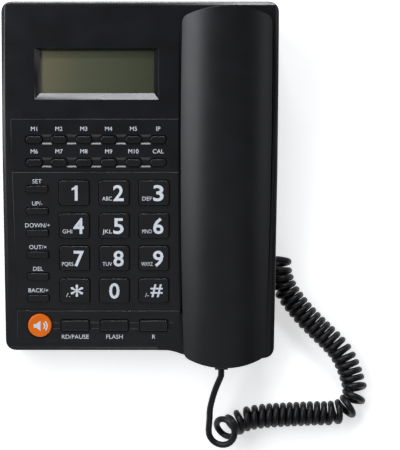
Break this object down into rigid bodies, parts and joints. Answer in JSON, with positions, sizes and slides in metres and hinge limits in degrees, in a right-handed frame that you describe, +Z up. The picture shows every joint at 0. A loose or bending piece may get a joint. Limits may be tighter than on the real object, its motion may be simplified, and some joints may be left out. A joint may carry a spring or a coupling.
{
  "type": "corded telephone",
  "caption": "Corded desk telephone with a sloped base, caller display, push keys, a handset in a side cradle and a curly cord.",
  "frame": {"origin": "Centre of the footprint of base and handset, without the cord, on the surface that the feet stand on.", "axes": "+X to the right of the person who uses it, +Y to the back edge, +Z up."},
  "size_m": [0.2174, 0.2618, 0.0697],
  "materials": {
    "case_black": "fine-textured moulded ABS, matte black",
    "case_bottom": "moulded ABS, matte black",
    "handset_black": "satin moulded ABS, black",
    "key_black": "moulded ABS, satin black with white print",
    "key_orange": "glossy moulded ABS, orange",
    "display_glass": "clear acrylic window",
    "display_face": "reflective grey-green liquid crystal glass",
    "board": "glass-epoxy board with green solder mask",
    "grey_rubber": "moulded silicone rubber, grey",
    "foot_rubber": "moulded rubber, dark grey",
    "part_black": "moulded nylon, black",
    "part_ivory": "moulded nylon, ivory",
    "speaker_steel": "pressed and plated steel",
    "screw_steel": "zinc-plated steel",
    "cord_black": "smooth flexible PVC, black",
    "plug_clear": "clear polycarbonate"
  },
  "bodies": {
    "base": {"base_top_cover": "case_black", "base_bottom_cover": "case_bottom", "display_window": "display_glass", "display_module": "display_face", "main_board": "board", "key_board": "board", "memory_board": "board", "rubber_key_mats": "grey_rubber", "hook_switch": "part_black", "line_jack": "part_ivory", "base_cord_jack": "part_black", "loudspeaker": "speaker_steel", "base_feet": "foot_rubber", "base_screws": "screw_steel", "curly_cord": "cord_black", "cord_tail": "cord_black", "base_plug": "plug_clear"},
    "handset": {"handset_back_cover": "handset_black", "handset_front_cover": "handset_black", "handset_receiver": "speaker_steel", "handset_microphone": "speaker_steel", "handset_cord_jack": "part_black", "handset_screws": "screw_steel", "handset_plug": "plug_clear"},
    "hook_plunger": {"hook_plunger": "key_black"},
    "speaker_key": {"speaker_key": "key_orange"},
    "key_1": {"key_1": "key_black"},
    "key_2": {"key_2": "key_black"},
    "key_3": {"key_3": "key_black"},
    "key_4": {"key_4": "key_black"},
    "key_5": {"key_5": "key_black"},
    "key_6": {"key_6": "key_black"},
    "key_7": {"key_7": "key_black"},
    "key_8": {"key_8": "key_black"},
    "key_9": {"key_9": "key_black"},
    "key_star": {"key_star": "key_black"},
    "key_0": {"key_0": "key_black"},
    "key_hash": {"key_hash": "key_black"},
    "key_m1": {"key_m1": "key_black"},
    "key_m2": {"key_m2": "key_black"},
    "key_m3": {"key_m3": "key_black"},
    "key_m4": {"key_m4": "key_black"},
    "key_m5": {"key_m5": "key_black"},
    "key_ip": {"key_ip": "key_black"},
    "key_m6": {"key_m6": "key_black"},
    "key_m7": {"key_m7": "key_black"},
    "key_m8": {"key_m8": "key_black"},
    "key_m9": {"key_m9": "key_black"},
    "key_m10": {"key_m10": "key_black"},
    "key_cal": {"key_cal": "key_black"},
    "key_set": {"key_set": "key_black"},
    "key_up": {"key_up": "key_black"},
    "key_down": {"key_down": "key_black"},
    "key_out": {"key_out": "key_black"},
    "key_del": {"key_del": "key_black"},
    "key_back": {"key_back": "key_black"},
    "key_redial": {"key_redial": "key_black"},
    "key_flash": {"key_flash": "key_black"},
    "key_recall": {"key_recall": "key_black"}
  },
  "joints": [
    {"name": "handset_lift", "type": "slide", "parent": "base", "child": "handset", "axis": [0, 0, 1], "range_m": [0, 0.08], "deforming": ["cord_tail"]},
    {"name": "hook_press", "type": "slide", "parent": "base", "child": "hook_plunger", "axis": [0, 0, 1], "range_m": [0, 0.004]},
    {"name": "speaker_key_press", "type": "slide", "parent": "base", "child": "speaker_key", "axis": [0, 0.1943, -0.9809], "range_m": [0, 0.0012], "stiffness_N_per_m": 400},
    {"name": "key_1_press", "type": "slide", "parent": "base", "child": "key_1", "axis": [0, 0.1943, -0.9809], "range_m": [0, 0.0012], "stiffness_N_per_m": 400},
    {"name": "key_2_press", "type": "slide", "parent": "base", "child": "key_2", "axis": [0, 0.1943, -0.9809], "range_m": [0, 0.0012], "stiffness_N_per_m": 400},
    {"name": "key_3_press", "type": "slide", "parent": "base", "child": "key_3", "axis": [0, 0.1943, -0.9809], "range_m": [0, 0.0012], "stiffness_N_per_m": 400},
    {"name": "key_4_press", "type": "slide", "parent": "base", "child": "key_4", "axis": [0, 0.1943, -0.9809], "range_m": [0, 0.0012], "stiffness_N_per_m": 400},
    {"name": "key_5_press", "type": "slide", "parent": "base", "child": "key_5", "axis": [0, 0.1943, -0.9809], "range_m": [0, 0.0012], "stiffness_N_per_m": 400},
    {"name": "key_6_press", "type": "slide", "parent": "base", "child": "key_6", "axis": [0, 0.1943, -0.9809], "range_m": [0, 0.0012], "stiffness_N_per_m": 400},
    {"name": "key_7_press", "type": "slide", "parent": "base", "child": "key_7", "axis": [0, 0.1943, -0.9809], "range_m": [0, 0.0012], "stiffness_N_per_m": 400},
    {"name": "key_8_press", "type": "slide", "parent": "base", "child": "key_8", "axis": [0, 0.1943, -0.9809], "range_m": [0, 0.0012], "stiffness_N_per_m": 400},
    {"name": "key_9_press", "type": "slide", "parent": "base", "child": "key_9", "axis": [0, 0.1943, -0.9809], "range_m": [0, 0.0012], "stiffness_N_per_m": 400},
    {"name": "key_star_press", "type": "slide", "parent": "base", "child": "key_star", "axis": [0, 0.1943, -0.9809], "range_m": [0, 0.0012], "stiffness_N_per_m": 400},
    {"name": "key_0_press", "type": "slide", "parent": "base", "child": "key_0", "axis": [0, 0.1943, -0.9809], "range_m": [0, 0.0012], "stiffness_N_per_m": 400},
    {"name": "key_hash_press", "type": "slide", "parent": "base", "child": "key_hash", "axis": [0, 0.1943, -0.9809], "range_m": [0, 0.0012], "stiffness_N_per_m": 400},
    {"name": "key_m1_press", "type": "slide", "parent": "base", "child": "key_m1", "axis": [0, 0.1317, -0.9913], "range_m": [0, 0.0012], "stiffness_N_per_m": 400},
    {"name": "key_m2_press", "type": "slide", "parent": "base", "child": "key_m2", "axis": [0, 0.1317, -0.9913], "range_m": [0, 0.0012], "stiffness_N_per_m": 400},
    {"name": "key_m3_press", "type": "slide", "parent": "base", "child": "key_m3", "axis": [0, 0.1317, -0.9913], "range_m": [0, 0.0012], "stiffness_N_per_m": 400},
    {"name": "key_m4_press", "type": "slide", "parent": "base", "child": "key_m4", "axis": [0, 0.1317, -0.9913], "range_m": [0, 0.0012], "stiffness_N_per_m": 400},
    {"name": "key_m5_press", "type": "slide", "parent": "base", "child": "key_m5", "axis": [0, 0.1317, -0.9913], "range_m": [0, 0.0012], "stiffness_N_per_m": 400},
    {"name": "key_ip_press", "type": "slide", "parent": "base", "child": "key_ip", "axis": [0, 0.1317, -0.9913], "range_m": [0, 0.0012], "stiffness_N_per_m": 400},
    {"name": "key_m6_press", "type": "slide", "parent": "base", "child": "key_m6", "axis": [0, 0.1317, -0.9913], "range_m": [0, 0.0012], "stiffness_N_per_m": 400},
    {"name": "key_m7_press", "type": "slide", "parent": "base", "child": "key_m7", "axis": [0, 0.1317, -0.9913], "range_m": [0, 0.0012], "stiffness_N_per_m": 400},
    {"name": "key_m8_press", "type": "slide", "parent": "base", "child": "key_m8", "axis": [0, 0.1317, -0.9913], "range_m": [0, 0.0012], "stiffness_N_per_m": 400},
    {"name": "key_m9_press", "type": "slide", "parent": "base", "child": "key_m9", "axis": [0, 0.1317, -0.9913], "range_m": [0, 0.0012], "stiffness_N_per_m": 400},
    {"name": "key_m10_press", "type": "slide", "parent": "base", "child": "key_m10", "axis": [0, 0.1317, -0.9913], "range_m": [0, 0.0012], "stiffness_N_per_m": 400},
    {"name": "key_cal_press", "type": "slide", "parent": "base", "child": "key_cal", "axis": [0, 0.1317, -0.9913], "range_m": [0, 0.0012], "stiffness_N_per_m": 400},
    {"name": "key_set_press", "type": "slide", "parent": "base", "child": "key_set", "axis": [0, 0.1943, -0.9809], "range_m": [0, 0.0012], "stiffness_N_per_m": 400},
    {"name": "key_up_press", "type": "slide", "parent": "base", "child": "key_up", "axis": [0, 0.1943, -0.9809], "range_m": [0, 0.0012], "stiffness_N_per_m": 400},
    {"name": "key_down_press", "type": "slide", "parent": "base", "child": "key_down", "axis": [0, 0.1943, -0.9809], "range_m": [0, 0.0012], "stiffness_N_per_m": 400},
    {"name": "key_out_press", "type": "slide", "parent": "base", "child": "key_out", "axis": [0, 0.1943, -0.9809], "range_m": [0, 0.0012], "stiffness_N_per_m": 400},
    {"name": "key_del_press", "type": "slide", "parent": "base", "child": "key_del", "axis": [0, 0.1943, -0.9809], "range_m": [0, 0.0012], "stiffness_N_per_m": 400},
    {"name": "key_back_press", "type": "slide", "parent": "base", "child": "key_back", "axis": [0, 0.1943, -0.9809], "range_m": [0, 0.0012], "stiffness_N_per_m": 400},
    {"name": "key_redial_press", "type": "slide", "parent": "base", "child": "key_redial", "axis": [0, 0.1943, -0.9809], "range_m": [0, 0.0012], "stiffness_N_per_m": 400},
    {"name": "key_flash_press", "type": "slide", "parent": "base", "child": "key_flash", "axis": [0, 0.1943, -0.9809], "range_m": [0, 0.0012], "stiffness_N_per_m": 400},
    {"name": "key_recall_press", "type": "slide", "parent": "base", "child": "key_recall", "axis": [0, 0.1943, -0.9809], "range_m": [0, 0.0012], "stiffness_N_per_m": 400}
  ],
  "couplings": [
    {"joint": "hook_press", "follows": "handset_lift", "ratio": 0.05}
  ]
}
